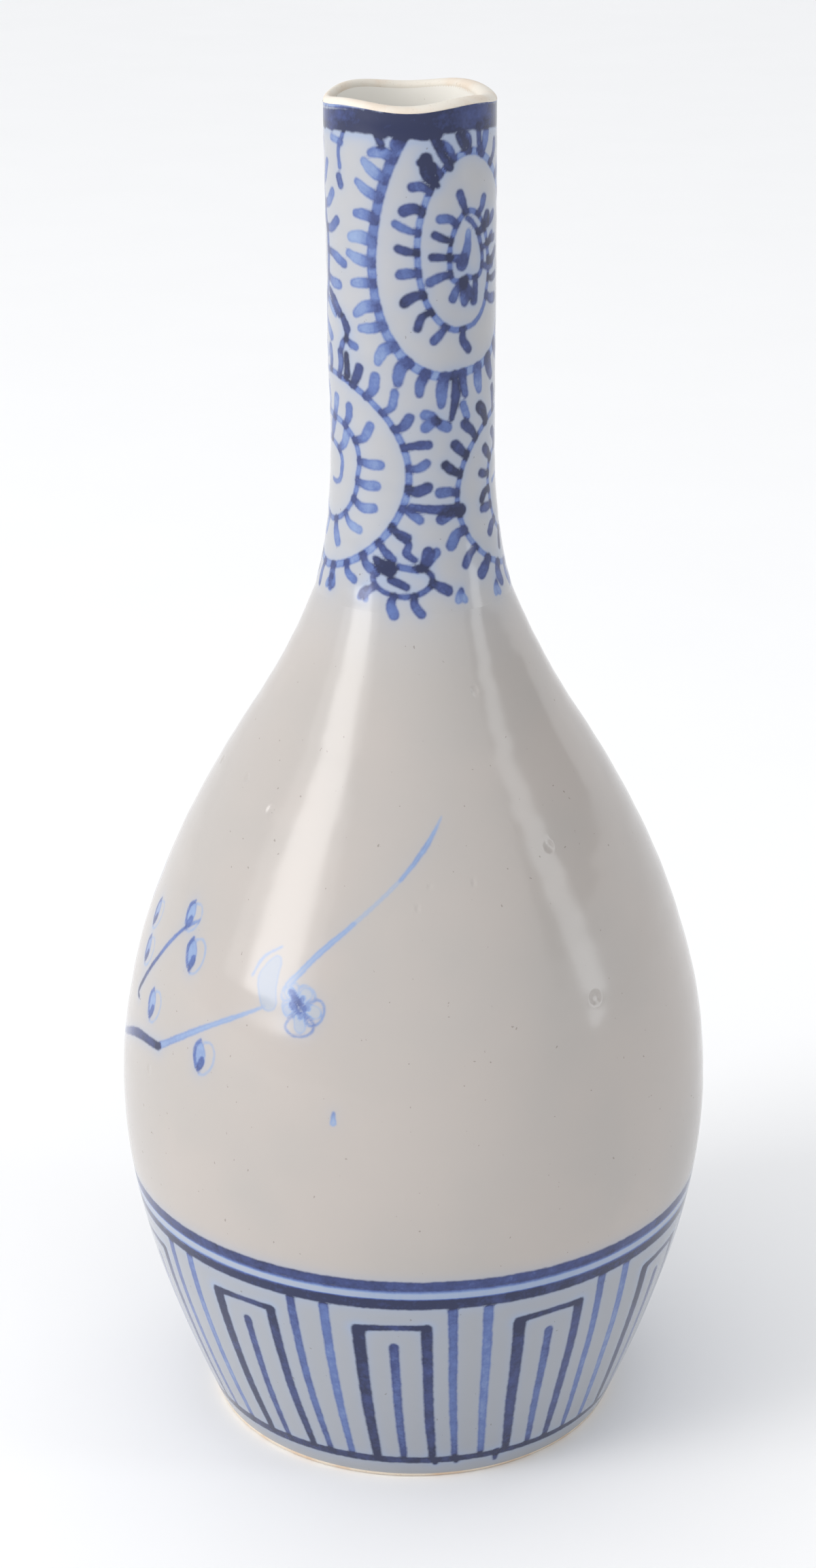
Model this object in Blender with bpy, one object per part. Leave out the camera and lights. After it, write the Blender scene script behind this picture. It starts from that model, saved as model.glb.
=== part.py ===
"""A porcelain sake bottle (tokkuri), modelled the way it is made.

The bulb and the neck are two thrown pieces of white clay, luted together with slip at a
bevelled seam. Three coats of clear glaze lie on them: one outside, one inside and one in
the recess under the foot. The lip and the ring that the bottle stands on are left bare.
Every surface is turned about +Z from one outline. Metres, +Z up, and the origin is the
centre of the ring that the bottle stands on.
"""
import math

import bmesh
import bpy
from mathutils import Vector

# Outline of the glazed outside, from the table up
FOOT_RADIUS = 0.0334
FOOT_BAND_HEIGHT = 0.0041
FOOT_BAND_RADIUS = 0.0350
BELLY_HEIGHT = 0.056
BELLY_RADIUS = 0.0475
SHOULDER_RISE = 0.062
SHOULDER_RADIUS = 0.0265
COLLAR_RISE = 0.022
SEAM_RADIUS = 0.0152
NECK_LENGTH = 0.075
NECK_SWEEP = 0.040
NECK_RADIUS = 0.0126
LIP_RADIUS = 0.0127

# How fast the radius grows with height where two stretches of the outline meet
FOOT_SLOPE = 0.40
SHOULDER_SLOPE = -0.64
COLLAR_SLOPE = -0.38
SEAM_SLOPE = -0.28

# Clay walls, the floor and the foot ring
BODY_WALL = 0.0032
SEAM_WALL = 0.0026
LIP_WALL = 0.0014
FLOOR_THICKNESS = 0.0050
FLOOR_FILLET = 0.010
FOOT_RING_WIDTH = 0.0042
FOOT_RECESS = 0.0030
FOOT_CHAMFER = 0.0006
SEAM_BEVEL = 0.0020

# Glaze coats, and the bare bands that they stop at
GLAZE = 0.00035
GAP = 0.0003
BARE_LIP_OUTSIDE = 0.0008
BARE_LIP_INSIDE = 0.0012
BARE_FOOT_HEIGHT = 0.0008

# What the potter's hand left: the neck leans, and the lip rises and dips
NECK_LEAN = -0.0005
LIP_WAVE = 0.00035
LIP_WAVES = 4
LIP_TILT = 0.0002
LIP_WAVE_DEPTH = 0.012
LIP_WAVE_ANGLE = math.radians(-45)
LIP_TILT_ANGLE = math.radians(45)

# Facets
SEGMENTS = 40
FOOT_TO_BELLY_ROWS = 5
BELLY_TO_SHOULDER_ROWS = 6
COLLAR_ROWS = 3
NECK_SWEEP_ROWS = 4
NECK_TOP_ROWS = 3
FILLET_ROWS = 3
LIP_ROWS = 4
ROW_CLEARANCE = 0.0003
SLOPE_STEP = 0.002
MERGE_DISTANCE = 1e-6
SHARP_ANGLE = math.radians(35)

# Heights that follow from the sizes above
SHOULDER_HEIGHT = BELLY_HEIGHT + SHOULDER_RISE
SEAM_HEIGHT = SHOULDER_HEIGHT + COLLAR_RISE
HEIGHT = SEAM_HEIGHT + NECK_LENGTH
NECK_HEIGHT = SEAM_HEIGHT + NECK_SWEEP
FLOOR_HEIGHT = FOOT_RECESS + FLOOR_THICKNESS
COAT = GLAZE + GAP


def curve_radius(height, low, high):
    """Radius on a smooth curve between two (height, radius, slope) points."""
    low_height, low_radius, low_slope = low
    high_height, high_radius, high_slope = high
    span = high_height - low_height
    share = (height - low_height) / span
    rest = 1 - share
    ends = rest * rest * (1 + 2 * share) * low_radius + share * share * (3 - 2 * share) * high_radius
    slopes = share * rest * rest * low_slope - share * share * rest * high_slope
    return ends + slopes * span


def outline_radius(height):
    """Radius of the glazed outside at a height."""
    foot = (FOOT_BAND_HEIGHT, FOOT_BAND_RADIUS, FOOT_SLOPE)
    belly = (BELLY_HEIGHT, BELLY_RADIUS, 0)
    shoulder = (SHOULDER_HEIGHT, SHOULDER_RADIUS, SHOULDER_SLOPE)
    collar = (SEAM_HEIGHT, SEAM_RADIUS, COLLAR_SLOPE)
    seam = (SEAM_HEIGHT, SEAM_RADIUS, SEAM_SLOPE)
    neck = (NECK_HEIGHT, NECK_RADIUS, 0)
    lip = (HEIGHT, LIP_RADIUS, 0)
    if height < FOOT_BAND_HEIGHT:
        return FOOT_RADIUS + (FOOT_BAND_RADIUS - FOOT_RADIUS) * height / FOOT_BAND_HEIGHT
    if height < BELLY_HEIGHT:
        return curve_radius(height, foot, belly)
    if height < SHOULDER_HEIGHT:
        return curve_radius(height, belly, shoulder)
    if height < SEAM_HEIGHT:
        return curve_radius(height, shoulder, collar)
    if height < NECK_HEIGHT:
        return curve_radius(height, seam, neck)
    return curve_radius(height, neck, lip)


def inset_radius(height, depth):
    """Radius of the surface that lies depth below the outside, measured square to it."""
    low = max(height - SLOPE_STEP, 0)
    high = min(height + SLOPE_STEP, HEIGHT)
    slope = (outline_radius(high) - outline_radius(low)) / (high - low)
    return outline_radius(height) - depth * math.sqrt(1 + slope * slope)


def clay_wall(height):
    """Thickness of the clay wall: thickest in the belly, thinnest at the lip."""
    if height < BELLY_HEIGHT:
        return BODY_WALL
    if height < SEAM_HEIGHT:
        share = (height - BELLY_HEIGHT) / (SEAM_HEIGHT - BELLY_HEIGHT)
        return BODY_WALL + (SEAM_WALL - BODY_WALL) * share
    share = (height - SEAM_HEIGHT) / NECK_LENGTH
    return SEAM_WALL + (LIP_WALL - SEAM_WALL) * share


def clay_outside(height):
    return inset_radius(height, COAT), height


def clay_inside(height):
    return inset_radius(height, COAT + clay_wall(height)), height


def heights_between(low, high, rows):
    """Heights from low up to high, both of them included."""
    return [low + (high - low) * row / rows for row in range(rows + 1)]


def body_heights(low, high):
    """The rows of the bulb that lie between two heights, and the two heights."""
    rows = heights_between(FOOT_BAND_HEIGHT, BELLY_HEIGHT, FOOT_TO_BELLY_ROWS)
    rows += heights_between(BELLY_HEIGHT, SHOULDER_HEIGHT, BELLY_TO_SHOULDER_ROWS)[1:]
    rows += heights_between(SHOULDER_HEIGHT, SEAM_HEIGHT, COLLAR_ROWS)[1:]
    return trimmed(rows, low, high)


def neck_heights(low, high):
    """The rows of the neck that lie between two heights, and the two heights."""
    rows = heights_between(SEAM_HEIGHT, NECK_HEIGHT, NECK_SWEEP_ROWS)
    rows += heights_between(NECK_HEIGHT, HEIGHT, NECK_TOP_ROWS)[1:]
    return trimmed(rows, low, high)


def trimmed(rows, low, high):
    """The rows between low and high, with low and high themselves at the ends."""
    inside = [height for height in rows if low + ROW_CLEARANCE < height < high - ROW_CLEARANCE]
    return [low] + inside + [high]


def floor_fillet(radius, height, top):
    """Quarter round from a wall at radius and top, in and down to a floor at height."""
    rise = top - height
    points = []
    for row in range(1, FILLET_ROWS + 1):
        angle = math.pi / 2 * row / FILLET_ROWS
        points.append((radius - rise * (1 - math.cos(angle)), top - rise * math.sin(angle)))
    return points


def warped(point):
    """Move a point with the neck's lean and the lip's wave."""
    above_seam = max(point.z - SEAM_HEIGHT, 0) / NECK_LENGTH
    near_lip = min(max((point.z - HEIGHT + LIP_WAVE_DEPTH) / LIP_WAVE_DEPTH, 0), 1)
    angle = math.atan2(point.y, point.x)
    wave = LIP_WAVE * math.cos(LIP_WAVES * (angle - LIP_WAVE_ANGLE))
    tilt = LIP_TILT * math.cos(angle - LIP_TILT_ANGLE)
    lift = (wave + tilt) * near_lip * near_lip * (3 - 2 * near_lip)
    return Vector((point.x + NECK_LEAN * above_seam, point.y, point.z + lift))


def make_material(name, colour, roughness, metallic=0.0):
    material = bpy.data.materials.new(name)
    material.use_nodes = True
    shader = material.node_tree.nodes["Principled BSDF"]
    shader.inputs["Base Color"].default_value = colour
    shader.inputs["Roughness"].default_value = roughness
    shader.inputs["Metallic"].default_value = metallic
    return material


def turn_piece(name, section, closed, material):
    """Turn a section of (radius, height) points about +Z into one closed solid.

    A closed section is a ring. An open one starts and ends on the axis.
    """
    mesh = bmesh.new()
    points = [mesh.verts.new((radius, 0, height)) for radius, height in section]
    edges = [mesh.edges.new(pair) for pair in zip(points, points[1:])]
    if closed:
        edges.append(mesh.edges.new((points[-1], points[0])))
    bmesh.ops.spin(
        mesh,
        geom=points + edges,
        axis=(0, 0, 1),
        cent=(0, 0, 0),
        steps=SEGMENTS,
        angle=math.tau,
        use_merge=True,
    )
    bmesh.ops.remove_doubles(mesh, verts=mesh.verts[:], dist=MERGE_DISTANCE)
    bmesh.ops.recalc_face_normals(mesh, faces=mesh.faces[:])
    for vertex in mesh.verts:
        vertex.co = warped(vertex.co)
    data = bpy.data.meshes.new(name)
    mesh.to_mesh(data)
    mesh.free()
    data.materials.append(material)
    data.shade_smooth()
    data.set_sharp_from_angle(angle=SHARP_ANGLE)
    piece = bpy.data.objects.new(name, data)
    bpy.context.collection.objects.link(piece)
    return piece


def seam_shift():
    """How far the neck's bevel lies above the collar's, for a slip joint of GAP."""
    return GAP * math.hypot(SEAM_BEVEL, SEAM_WALL) / SEAM_WALL


def body_section():
    """The bulb: bevelled collar, wall, floor, and a turned foot ring round a recess."""
    collar_outside = SEAM_HEIGHT - SEAM_BEVEL / 2
    collar_inside = SEAM_HEIGHT + SEAM_BEVEL / 2
    fillet_top = FLOOR_HEIGHT + FLOOR_FILLET
    ring_outside = clay_outside(FOOT_CHAMFER)[0]
    ring_inside = ring_outside - FOOT_RING_WIDTH
    outside = [clay_outside(height) for height in body_heights(FOOT_CHAMFER, collar_outside)]
    inside = [clay_inside(height) for height in body_heights(fillet_top, collar_inside)]
    section = [(0, FOOT_RECESS)]
    section.append((ring_inside, FOOT_RECESS))
    section.append((ring_inside, FOOT_CHAMFER))
    section.append((ring_inside + FOOT_CHAMFER, 0))
    section.append((ring_outside - FOOT_CHAMFER, 0))
    section += outside
    section += reversed(inside)
    section += floor_fillet(inside[0][0], FLOOR_HEIGHT, fillet_top)
    section.append((0, FLOOR_HEIGHT))
    return section


def neck_section():
    """The neck: a tube with a bevelled foot that sits on the collar, and a round bare lip."""
    foot_outside = SEAM_HEIGHT - SEAM_BEVEL / 2 + seam_shift()
    foot_inside = SEAM_HEIGHT + SEAM_BEVEL / 2 + seam_shift()
    lip_radius = LIP_WALL / 2
    lip_base = HEIGHT - lip_radius
    outside = [clay_outside(height) for height in neck_heights(foot_outside, lip_base)]
    inside = [clay_inside(height) for height in neck_heights(foot_inside, lip_base)]
    half_wall = (outside[-1][0] - inside[-1][0]) / 2
    centre = outside[-1][0] - half_wall
    lip = []
    for row in range(1, LIP_ROWS):
        angle = math.pi * row / LIP_ROWS
        lip.append((centre + half_wall * math.cos(angle), lip_base + lip_radius * math.sin(angle)))
    return outside + lip + inside[::-1]


def outer_glaze_section():
    """The outside coat, from just above the table to just below the lip."""
    top = HEIGHT - BARE_LIP_OUTSIDE
    heights = body_heights(BARE_FOOT_HEIGHT, SEAM_HEIGHT) + neck_heights(SEAM_HEIGHT, top)[1:]
    outer = [(outline_radius(height), height) for height in heights]
    inner = [(inset_radius(height, GLAZE), height) for height in heights]
    return outer + inner[::-1]


def inner_glaze_section():
    """The inside coat: a lining that covers the floor and stops below the lip."""
    top = HEIGHT - BARE_LIP_INSIDE
    fillet_top = FLOOR_HEIGHT + FLOOR_FILLET
    heights = body_heights(fillet_top, SEAM_HEIGHT) + neck_heights(SEAM_HEIGHT, top)[1:]
    back_depth = COAT + GAP
    back = [(inset_radius(height, back_depth + clay_wall(height)), height) for height in heights]
    face = [(radius - GLAZE, height) for radius, height in back]
    section = [(0, FLOOR_HEIGHT + GAP)]
    section += floor_fillet(back[0][0], FLOOR_HEIGHT + GAP, fillet_top)[::-1]
    section += back
    section += face[::-1]
    section += floor_fillet(face[0][0], FLOOR_HEIGHT + COAT, fillet_top)
    section.append((0, FLOOR_HEIGHT + COAT))
    return section


def base_glaze_section():
    """The coat in the recess under the foot: a shallow dish inside the foot ring."""
    ring_inside = clay_outside(FOOT_CHAMFER)[0] - FOOT_RING_WIDTH
    edge = ring_inside - GAP
    rim = BARE_FOOT_HEIGHT + FOOT_CHAMFER
    return [
        (0, FOOT_RECESS - COAT),
        (edge - GLAZE, FOOT_RECESS - COAT),
        (edge - GLAZE, rim),
        (edge, rim),
        (edge, FOOT_RECESS - GAP),
        (0, FOOT_RECESS - GAP),
    ]


def build_bottle():
    for old in list(bpy.data.objects):
        bpy.data.objects.remove(old)
    clay = (0.74, 0.68, 0.60, 1.0)
    glaze_white = (0.70, 0.70, 0.68, 1.0)
    turn_piece("body", body_section(), False, make_material("foot_biscuit", clay, 0.75))
    turn_piece("neck", neck_section(), True, make_material("lip_biscuit", clay, 0.70))
    turn_piece(
        "outer_glaze",
        outer_glaze_section(),
        True,
        make_material("painted_glaze", (0.55, 0.58, 0.64, 1.0), 0.12),
    )
    lining = make_material("lining_glaze", glaze_white, 0.18)
    turn_piece("inner_glaze", inner_glaze_section(), False, lining)
    turn_piece("base_glaze", base_glaze_section(), False, make_material("recess_glaze", glaze_white, 0.15))


build_bottle()
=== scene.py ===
"""Looks of the porcelain sake bottle: fine turned surfaces, cobalt brush painting and glaze.

The bottle is worked out on an unrolled map: angle in degrees round the bottle, 0 at the
front and 90 at the right, and height in millimetres above the table. Every brush stroke
lies on that map. The mesh carries what the brush left as three attributes, and the glaze
material turns them into cobalt.
"""
import math

import bmesh
import bpy
import numpy as np
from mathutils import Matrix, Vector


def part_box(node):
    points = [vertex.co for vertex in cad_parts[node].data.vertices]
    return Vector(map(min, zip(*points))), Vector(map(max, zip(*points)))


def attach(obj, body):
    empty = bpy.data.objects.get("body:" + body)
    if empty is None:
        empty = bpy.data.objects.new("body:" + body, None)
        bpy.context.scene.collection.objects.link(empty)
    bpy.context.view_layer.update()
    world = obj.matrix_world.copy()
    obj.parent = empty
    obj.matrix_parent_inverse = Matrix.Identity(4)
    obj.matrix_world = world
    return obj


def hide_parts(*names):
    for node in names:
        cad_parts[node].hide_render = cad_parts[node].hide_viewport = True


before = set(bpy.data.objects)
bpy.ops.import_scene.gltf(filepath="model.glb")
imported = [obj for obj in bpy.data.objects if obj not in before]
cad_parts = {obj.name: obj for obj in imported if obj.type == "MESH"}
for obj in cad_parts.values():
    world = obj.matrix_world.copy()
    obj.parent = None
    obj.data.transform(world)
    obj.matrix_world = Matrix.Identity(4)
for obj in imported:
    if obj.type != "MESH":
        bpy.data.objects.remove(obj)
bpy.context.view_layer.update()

MM = 0.001
rng = np.random.default_rng(7)

# ---------------------------------------------------------------- sizes, in millimetres
GLAZE_LOW, GLAZE_HIGH = (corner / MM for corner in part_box("outer_glaze"))

BELLY_RADIUS = (GLAZE_HIGH.y - GLAZE_LOW.y) / 2
GLAZE_FOOT = GLAZE_LOW.z
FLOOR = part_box("inner_glaze")[0].z / MM
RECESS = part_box("base_glaze")[1].z / MM

# The outline that the CAD turns: (height, radius, slope above it, slope below it)
FOOT_RADIUS = 33.4
OUTLINE = (
    (4.1, 35.0, 0.40, 0.40),
    (56.0, BELLY_RADIUS, 0.0, 0.0),
    (118.0, 26.5, -0.64, -0.64),
    (140.0, 15.2, -0.28, -0.38),
    (180.0, 12.6, 0.0, 0.0),
    (215.0, 12.7, 0.0, 0.0),
)
SEAM = OUTLINE[3][0]
HEIGHT = OUTLINE[-1][0]

# The outer glaze stops below the lip, and draws in over its last stretch above the foot ring
GLAZE_TOP = HEIGHT - 0.7
GLAZE_STEP = 0.14
GLAZE_EDGE = 0.6

# The hand that made it: a bore off centre, a neck that leans to the left, a lip that waves
BORE = 10.6
BORE_OFFSET = -0.75
LEAN = -0.5
LIP_WAVE = 0.35
LIP_TILT = 0.20
LIP_WAVE_DEPTH = 12.0

# The bare ring that it stands on, and the round of its two lower edges
FOOT_RING_WIDTH = 4.4
FOOT_RING_ROUND = 0.7

# What a stroke leaves is followed this far outside its edge
REACH = 3.0
# Pigment starts this far outside a stroke's edge, and is at full strength after SOFT_EDGE
SPILL = 0.45
SOFT_EDGE = 0.3
# The pale bleed dies away over these distances from a stroke and from a ring
STROKE_BLEED = 0.75
RING_BLEED = 0.9
# The mesh is refined this far outside the brushwork, and this many radii round a pit
REFINE_BESIDE_PAINT = 0.9
REFINE_ROUND_PIT = 1.8


# ---------------------------------------------------------------- the turned form
def outline(height):
    """Radius of the glazed outside at each height."""
    height = np.asarray(height, float)
    foot = OUTLINE[0]
    radius = FOOT_RADIUS + (foot[1] - FOOT_RADIUS) * height / foot[0]
    for low, high in zip(OUTLINE, OUTLINE[1:]):
        span = high[0] - low[0]
        share = np.clip((height - low[0]) / span, 0, 1)
        rest = 1 - share
        curve = rest**2 * (1 + 2 * share) * low[1] + share**2 * (3 - 2 * share) * high[1]
        curve += span * (share * rest**2 * low[2] - share**2 * rest * high[3])
        radius = np.where(height >= low[0], curve, radius)
    return radius


def slope(height):
    """How fast the radius grows with height."""
    step = 0.5
    low = np.clip(np.asarray(height, float) - step, 0, HEIGHT)
    high = np.clip(np.asarray(height, float) + step, 0, HEIGHT)
    return (outline(high) - outline(low)) / (high - low)


LEVELS = np.linspace(0, HEIGHT, 4301)
ALONG = np.concatenate([[0], np.cumsum(np.hypot(np.diff(LEVELS), np.diff(outline(LEVELS))))])


def along(height):
    """Distance along the outline from the foot to each height."""
    return np.interp(height, LEVELS, ALONG)


def even_heights(low, high, step):
    """Heights from low to high, about step apart along the outline."""
    ends = along(np.array([low, high]))
    count = int(math.ceil((ends[1] - ends[0]) / step)) + 1
    return np.interp(np.linspace(ends[0], ends[1], count), ALONG, LEVELS)


def smooth(low, high, value):
    """0 below low and 1 above high, with a soft start and stop."""
    share = np.clip((value - low) / (high - low), 0, 1)
    return share * share * (3 - 2 * share)


def turned_apart(angle, centre):
    """Signed degrees from centre to angle, the short way round."""
    return (angle - centre + 180) % 360 - 180


# Pits where a bubble burst in the glaze: (angle, height, radius, depth)
PITS = [
    (-45, 111, 0.8, 0.16), (27, 129, 0.6, 0.12), (38, 107, 0.8, 0.16), (40, 85, 1.0, 0.18),
    (4, 104, 0.4, 0.08), (1, 101, 0.35, 0.10), (15, 104, 0.35, 0.10),
]
for _ in range(8):
    pit_radius = rng.uniform(0.35, 0.85)
    PITS.append((rng.uniform(60, 300), rng.uniform(50, 130), pit_radius, 0.2 * pit_radius))


def relief(angle, height):
    """Small rises and hollows that the potter's hands and the kiln left in the outside."""
    turn = np.radians(angle)
    upright = 2 * math.pi * height
    # the bulb is a little out of round
    rise = 0.10 * (1 - smooth(120, 150, height)) * np.cos(2 * (turn - 0.6))
    # throwing rings: wide ones from the belly up, narrow ones from the shoulder up
    rise += 0.018 * np.sin(upright / 6.1 + 0.7 * np.sin(turn)) * smooth(40, 70, height)
    rise += 0.012 * np.sin(upright / 3.7 + 0.9 * np.sin(turn + 1.0)) * smooth(90, 130, height)
    # slow swells all over
    rise += 0.030 * np.sin(upright / 31 + 2 * turn) * np.sin(3 * turn + 0.4)
    rise += 0.022 * np.sin(upright / 19 - 3 * turn + 1.2)
    for pit_angle, pit_height, radius, depth in PITS:
        sideways = np.radians(turned_apart(angle, pit_angle)) * outline(height)
        upward = along(height) - along(pit_height)
        away = np.clip(np.hypot(sideways, upward) / radius, 0, 9)
        rise -= depth * np.exp(-away**4)
        # a low rim round the pit
        rise += 0.15 * depth * np.exp(-((away - 1.25) ** 2) / 0.06)
    return rise


def placed(angle, height, radius, shift=0.0):
    """Points in metres, with the neck's lean and the lip's wave; shift moves them sideways."""
    turn = np.radians(angle)
    lean = LEAN * np.clip((height - SEAM) / (HEIGHT - SEAM), 0, 1)
    near_lip = smooth(HEIGHT - LIP_WAVE_DEPTH, HEIGHT, height)
    wave = LIP_WAVE * np.cos(4 * (turn - math.pi / 4)) + LIP_TILT * np.cos(turn - 0.75 * math.pi)
    x = radius * np.sin(turn) + lean + shift
    y = -radius * np.cos(turn)
    return np.stack([x, y, height + wave * near_lip], axis=-1) * MM


def outside(angle, height):
    """Points on the glazed outside."""
    radius = outline(height) + relief(angle, height)
    foot = np.clip((GLAZE_FOOT + GLAZE_EDGE - height) / GLAZE_EDGE, 0, 1)
    radius = radius - GLAZE_STEP * (1 - np.sqrt(1 - foot**2))
    return placed(angle, height, radius)


# ---------------------------------------------------------------- brush strokes
STROKES = []
RINGS = []

# Two shapes of dab: how wide it is, as a share, from its root on a line to its tip
CLUB = (0.62, 0.80, 1.0, 0.95)
LEAF = (0.85, 1.1, 1.05, 0.75)


def spread_along(values, count):
    """A few values laid out evenly along count points."""
    values = np.atleast_1d(np.asarray(values, float))
    return np.interp(np.linspace(0, 1, count), np.linspace(0, 1, len(values)), values)


def eased(points, count):
    """A smooth curve of count points through a few points."""
    points = np.asarray(points, float)
    last = len(points) - 1
    at = np.linspace(0, last, count)
    low = np.clip(at.astype(int), 0, last - 1)
    share = (at - low)[:, None]
    before = points[np.clip(low - 1, 0, last)]
    after = points[np.clip(low + 2, 0, last)]
    start, end = points[low], points[low + 1]
    cubic = 2 * start + (end - before) * share
    cubic += (2 * before - 5 * start + 4 * end - after) * share**2
    cubic += (3 * start - before - 3 * end + after) * share**3
    return cubic / 2


def lay(path, width, tone):
    """Keep a stroke: its (angle, height) path with widths and tones along it."""
    count = len(path)
    STROKES.append((path, spread_along(width, count) / 2, spread_along(tone, count)))


def brush(points, width, tone):
    """One stroke through a few (angle, height) points."""
    lay(eased(points, 6 * len(points)), width, tone)


def ring(height, width, tone, sway):
    """A line all the way round. sway makes it rise, swell and darken a little."""
    rise, swell, shade, start = sway
    RINGS.append((
        lambda angle: height + rise * np.sin(np.radians(2 * angle + start)),
        lambda angle: width / 2 + swell * np.sin(np.radians(angle + start)),
        lambda angle: tone + shade * np.sin(np.radians(3 * angle + 2 * start)),
    ))


def on_map(angle, height, centre):
    """Flat millimetres round a centre angle: sideways, and up along the outline."""
    sideways = np.radians(turned_apart(angle, centre)) * outline(height)
    return np.stack([sideways, along(height)], axis=-1)


def off_map(flat, centre):
    """Angle and height of flat points round a centre angle."""
    height = np.interp(flat[..., 1], ALONG, LEVELS)
    return np.stack([centre + np.degrees(flat[..., 0] / outline(height)), height], axis=-1)


def spot(height):
    """The flat place of a point at this height, round its own angle."""
    return np.array([0.0, float(along(height))])


def dab(root, outward, length, width, tone, lean=0.0, shape=CLUB):
    """A short stroke that leaves a line at root, (angle, height), along a flat direction."""
    forward = np.array([-outward[1], outward[0]])
    base = spot(root[1])
    middle = base + length * (0.5 * outward - 0.08 * forward)
    tip = base + length * (outward + lean * forward)
    path = eased(off_map(np.array([base, middle, tip]), root[0]), 14)
    tones = (0.35 + 0.65 * tone, 0.2 + 0.8 * tone, tone, 0.9 * tone, tone)
    lay(path, 1.22 * np.multiply(shape, width), tones)


def dabs_along(path, hand, spacing, length, width, tone, first=0.0, last=1.0, shape=CLUB):
    """Dabs at nearly even steps on the outer side of a scroll, like the suckers on a tentacle.
    hand is the scroll's own. Tones run from the first dab to the last, and first and last are
    shares of the line's length."""
    centre = path[:, 0].mean()
    flat = on_map(path[:, 0], path[:, 1], centre)
    distance = np.concatenate([[0], np.cumsum(np.linalg.norm(np.diff(flat, axis=0), axis=1))])
    at, end = first * distance[-1], last * distance[-1]
    tones = np.atleast_1d(tone)
    while at < end:
        root, ahead = (
            np.array([np.interp(where, distance, flat[:, axis]) for axis in range(2)])
            for where in (at, at + 0.3)
        )
        forward = (ahead - root) / np.linalg.norm(ahead - root)
        outward = hand * np.array([forward[1], -forward[0]])
        place = (at - first * distance[-1]) / (end - first * distance[-1])
        strength = np.interp(place, np.linspace(0, 1, len(tones)), tones)
        dab(
            off_map(root, centre), outward, length * rng.uniform(0.82, 1.12),
            width * rng.uniform(0.85, 1.2), strength * rng.uniform(0.72, 1.3),
            rng.uniform(-0.28, 0.28), shape,
        )
        at += spacing * rng.uniform(0.92, 1.08)


def scroll(centre, hand, turns, tall, wide, width, tone):
    """A line that winds inwards round a centre, from straight up. hand is 1 where it goes
    left first. turns are where it starts and stops, in quarter turns. tall are its reaches up
    and down at each even quarter turn, and wide those to the sides at each odd one."""
    quarter = np.linspace(*turns, int(20 * (turns[1] - turns[0])))
    up = np.interp(quarter, np.arange(0, 2 * len(tall), 2), tall)
    across = np.interp(quarter, np.arange(1, 2 * len(wide) + 1, 2), wide)
    x = -hand * across * np.sin(quarter * math.pi / 2)
    y = up * np.cos(quarter * math.pi / 2)
    path = off_map(spot(centre[1]) + np.stack([x, y], axis=-1), centre[0])
    lay(path, width, tone)
    return path


def sprig(angle, height, turns, length, width, tone):
    """A small fan of dabs that leave one point, each at its own turn from the right."""
    for turn in turns:
        way = math.radians(turn + rng.uniform(-6, 6))
        dab((angle, height), np.array([math.cos(way), math.sin(way)]), length, width, tone)


def paint_scrolls():
    """The octopus scrolls that wind round the neck, with dabs on their outer side."""
    upper = scroll(
        (40, 192), 1, (0.42, 12), (28, 16, 16, 9.5, 7.5, 2, 6.5), (14.8, 12.5, 7.8, 5, 3, 3.4),
        (1.5, 1.3, 1.0, 0.8, 0.8, 0.8, 0.8), (0.5, 0.26, 0.24, 0.32, 0.4, 0.42, 0.36, 0.5, 0.6),
    )
    dabs_along(upper, 1, 3.1, 3.9, 1.3, (0.4, 0.28, 0.4, 0.65, 0.6), 0.03, 0.42, LEAF)
    dabs_along(upper, 1, 3.0, 3.1, 1.2, (0.8, 0.5, 0.6, 0.8, 0.6), 0.44, 0.73)
    dabs_along(upper, 1, 2.5, 3.1, 1.15, (0.75, 0.65), 0.76, 0.99)
    left = scroll(
        (-72, 160), -1, (-0.4, 10), (14.8, 15, 8, 8, 4, 2), (15.2, 13, 6.8, 6.8, 3),
        (0.8, 1.1, 1.2, 0.8, 0.8, 0.9, 0.7), (0.4, 0.32, 0.3, 0.4, 0.35, 0.4),
    )
    dabs_along(left, -1, 3.2, 3.3, 1.25, (0.55, 0.6, 0.5), 0.04, 0.50)
    dabs_along(left, -1, 3.0, 3.6, 1.3, (0.5, 0.32, 0.4), 0.52, 0.95)
    right = scroll(
        (86, 156), 1, (-0.6, 8.5), (13, 11.4, 7, 6.4, 2.4), (12, 11, 4.4, 4),
        (0.8, 0.9, 0.75, 0.8, 0.7), (0.4, 0.3, 0.36, 0.35),
    )
    dabs_along(right, 1, 3.1, 3.3, 1.35, (1.0, 0.85, 0.5, 0.4), 0.04, 0.55)
    dabs_along(right, 1, 2.6, 2.6, 1.2, (0.95, 0.85), 0.58, 0.92)
    behind = scroll(
        (-143, 192), -1, (-0.5, 9), (17.5, 16.5, 10.5, 9, 4), (15.2, 13, 7.6, 6, 2.4),
        (1.3, 1.0, 0.8, 0.8), (0.6, 0.4, 0.4, 0.5),
    )
    dabs_along(behind, -1, 3.5, 4.8, 1.3, (0.5, 0.35, 0.55), 0.04, 0.52)
    dabs_along(behind, -1, 2.9, 3.0, 1.15, (0.5, 0.6), 0.54, 0.92)
    small = scroll(
        (179, 157), 1, (-0.3, 7), (9.5, 9, 4.6, 4), (8.8, 8, 4.2, 2.6),
        (1.1, 0.8, 0.8), (0.5, 0.4),
    )
    dabs_along(small, 1, 2.9, 2.8, 1.1, (0.6, 0.5), 0.03, 0.9)


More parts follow.
